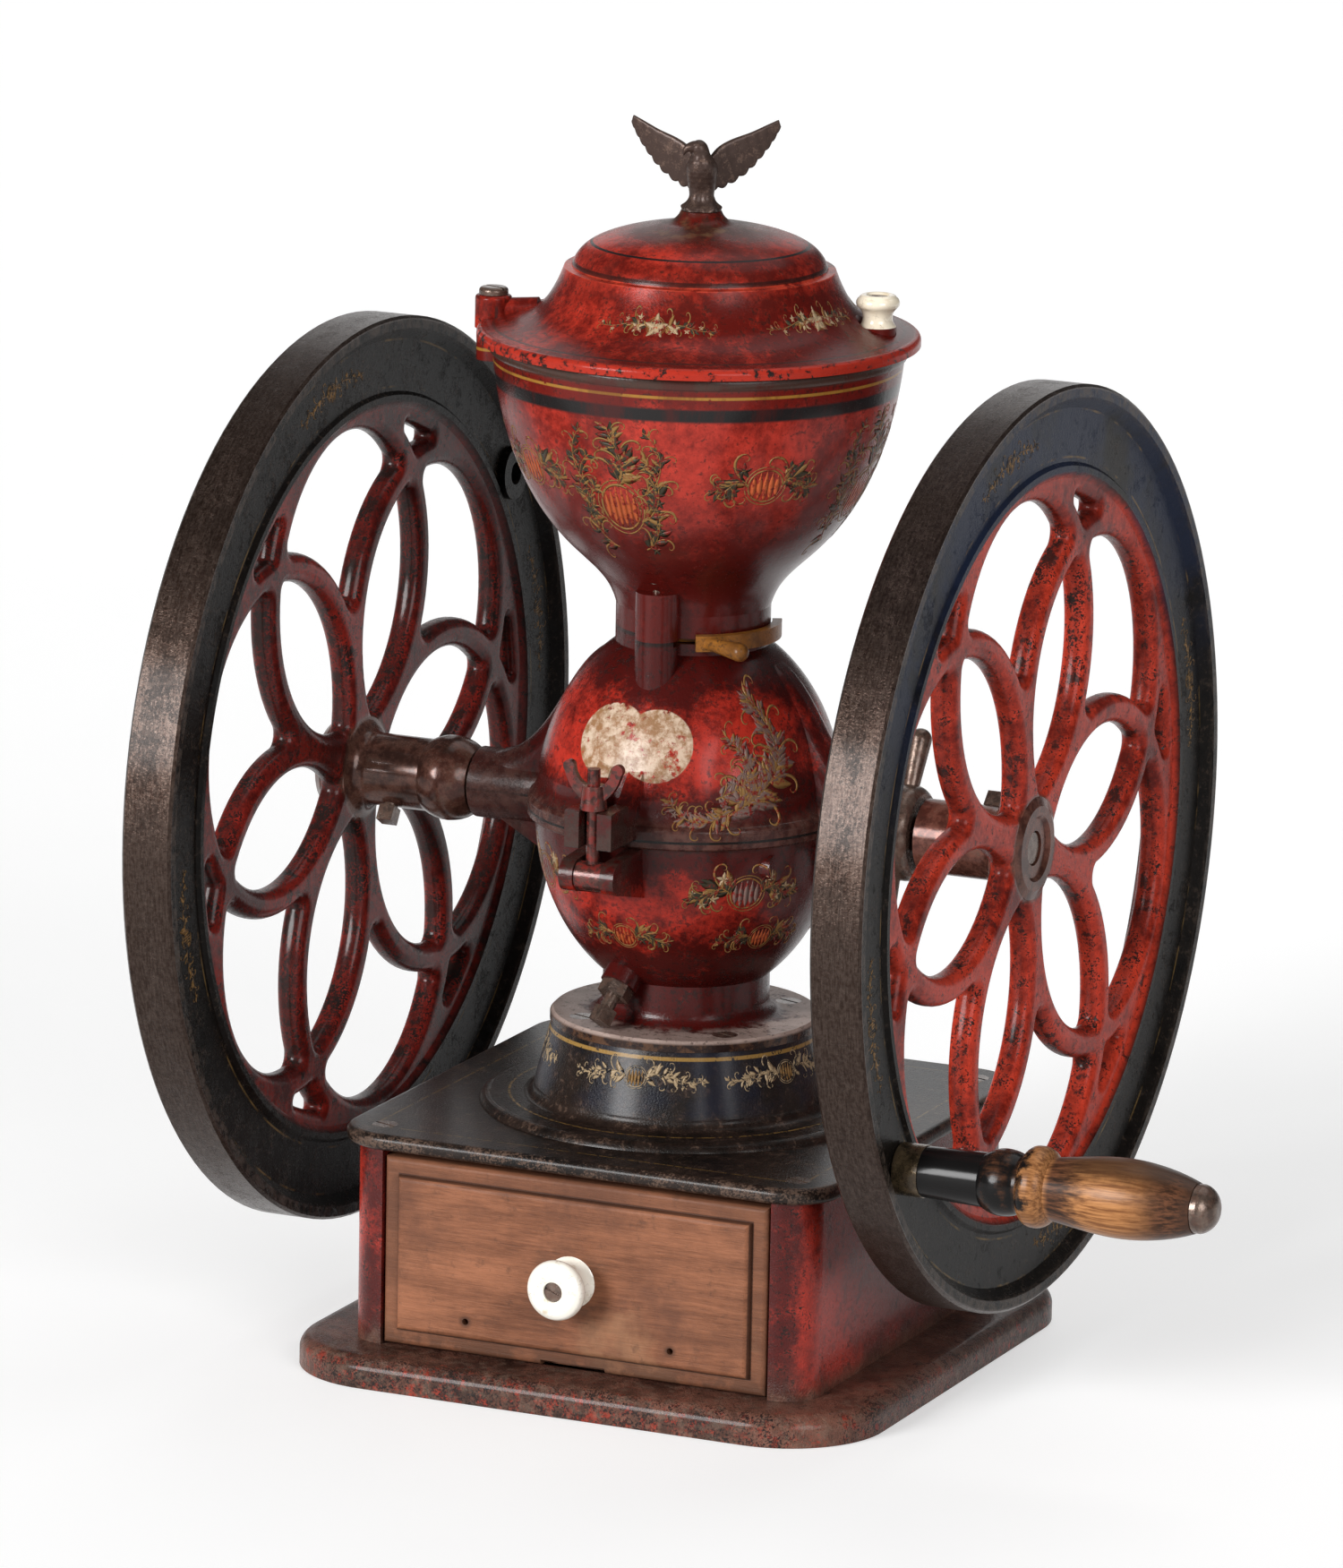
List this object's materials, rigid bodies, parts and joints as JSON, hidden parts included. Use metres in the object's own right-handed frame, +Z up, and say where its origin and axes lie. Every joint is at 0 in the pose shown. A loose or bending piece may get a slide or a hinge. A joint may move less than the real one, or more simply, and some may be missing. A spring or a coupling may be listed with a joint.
{
  "type": "coffee grinder mill",
  "caption": "Antique counter coffee mill: flywheels on a shaft through a cast grinding case, hopper with swinging lid and finial, crank handle, and a drawer in the iron base.",
  "frame": {"origin": "centre of the plinth underside, below the case axis", "axes": "+X along the shaft to the crank wheel, -Y to the drawer front, +Z up"},
  "size_m": [0.6005, 0.5, 0.6755],
  "materials": {
    "red_casting": "worn red japanned paint on cast iron",
    "black_casting": "worn black japanned paint on cast iron",
    "wheel_casting": "red painted web, black painted rim, worn tread",
    "bronzed_iron": "dark bronzed casting",
    "ochre_iron": "worn ochre coating",
    "burr_iron": "bare iron",
    "iron_hardware": "dark oxidised steel",
    "brass": "dull",
    "porcelain": "glazed cream",
    "handle_wood": "worn varnish",
    "drawer_wood": "stained, worn"
  },
  "bodies": {
    "frame": {"base_box": "red_casting", "clamp_pin": "iron_hardware", "fixed_burr": "burr_iron", "flange_screw_1": "iron_hardware", "flange_screw_2": "iron_hardware", "flange_screw_3": "iron_hardware", "flange_screw_4": "iron_hardware", "hopper": "red_casting", "hopper_screw_front": "iron_hardware", "hopper_screw_rear": "iron_hardware", "left_bush": "brass", "lid_pivot_screw": "iron_hardware", "lock_nut": "iron_hardware", "lock_screw": "iron_hardware", "lower_housing": "red_casting", "rear_hinge_pin": "iron_hardware", "right_sleeve": "iron_hardware", "top_plate": "black_casting", "top_plate_screw_1": "iron_hardware", "top_plate_screw_2": "iron_hardware", "top_plate_screw_3": "iron_hardware", "top_plate_screw_4": "iron_hardware", "upper_housing": "red_casting"},
    "lid": {"lid": "red_casting", "eagle_finial": "bronzed_iron", "lid_knob": "porcelain", "lid_knob_screw": "iron_hardware"},
    "gate": {"feed_gate": "ochre_iron"},
    "clamp_bolt": {"swing_bolt": "iron_hardware"},
    "clamp_nut": {"wing_nut": "iron_hardware"},
    "drawer": {"drawer_front": "drawer_wood", "drawer_left_side": "drawer_wood", "drawer_right_side": "drawer_wood", "drawer_back": "drawer_wood", "drawer_bottom": "drawer_wood", "drawer_knob": "porcelain", "drawer_knob_screw": "iron_hardware"},
    "shaft": {"main_shaft": "iron_hardware", "left_wheel": "wheel_casting", "right_wheel": "wheel_casting", "left_set_screw": "iron_hardware", "right_set_screw": "iron_hardware", "rotating_burr": "burr_iron", "feed_worm": "burr_iron", "crank_spindle": "iron_hardware"},
    "grip": {"crank_grip": "handle_wood", "crank_ferrule": "brass"},
    "adjuster": {"adjusting_nut": "black_casting"}
  },
  "joints": [
    {"name": "lid_swing", "type": "hinge", "parent": "frame", "child": "lid", "pos_m": [-0.11191, -0.02175, 0.5575], "axis": [0, 0, 1], "range_deg": [-120, 120]},
    {"name": "gate_swing", "type": "hinge", "parent": "frame", "child": "gate", "pos_m": [0, -0.047, 0.4005], "axis": [0, 0, -1], "range_deg": [0, 60]},
    {"name": "clamp_swing", "type": "hinge", "parent": "frame", "child": "clamp_bolt", "pos_m": [-0.006, -0.112, 0.284], "axis": [1, 0, 0], "range_deg": [0, 105]},
    {"name": "wing_nut_turn", "type": "hinge", "parent": "clamp_bolt", "child": "clamp_nut", "pos_m": [-0.006, -0.112, 0.321], "axis": [0, 0, 1], "continuous": true},
    {"name": "drawer_slide", "type": "slide", "parent": "frame", "child": "drawer", "axis": [0, -1, 0], "range_m": [0, 0.2]},
    {"name": "shaft_turn", "type": "hinge", "parent": "frame", "child": "shaft", "pos_m": [0, 0, 0.3], "axis": [1, 0, 0], "continuous": true},
    {"name": "grip_turn", "type": "hinge", "parent": "shaft", "child": "grip", "pos_m": [0.204, -0.1781, 0.1658], "axis": [1, 0, 0], "continuous": true},
    {"name": "adjuster_turn", "type": "hinge", "parent": "frame", "child": "adjuster", "pos_m": [0.125, 0, 0.3], "axis": [1, 0, 0], "range_deg": [-180, 180]}
  ]
}
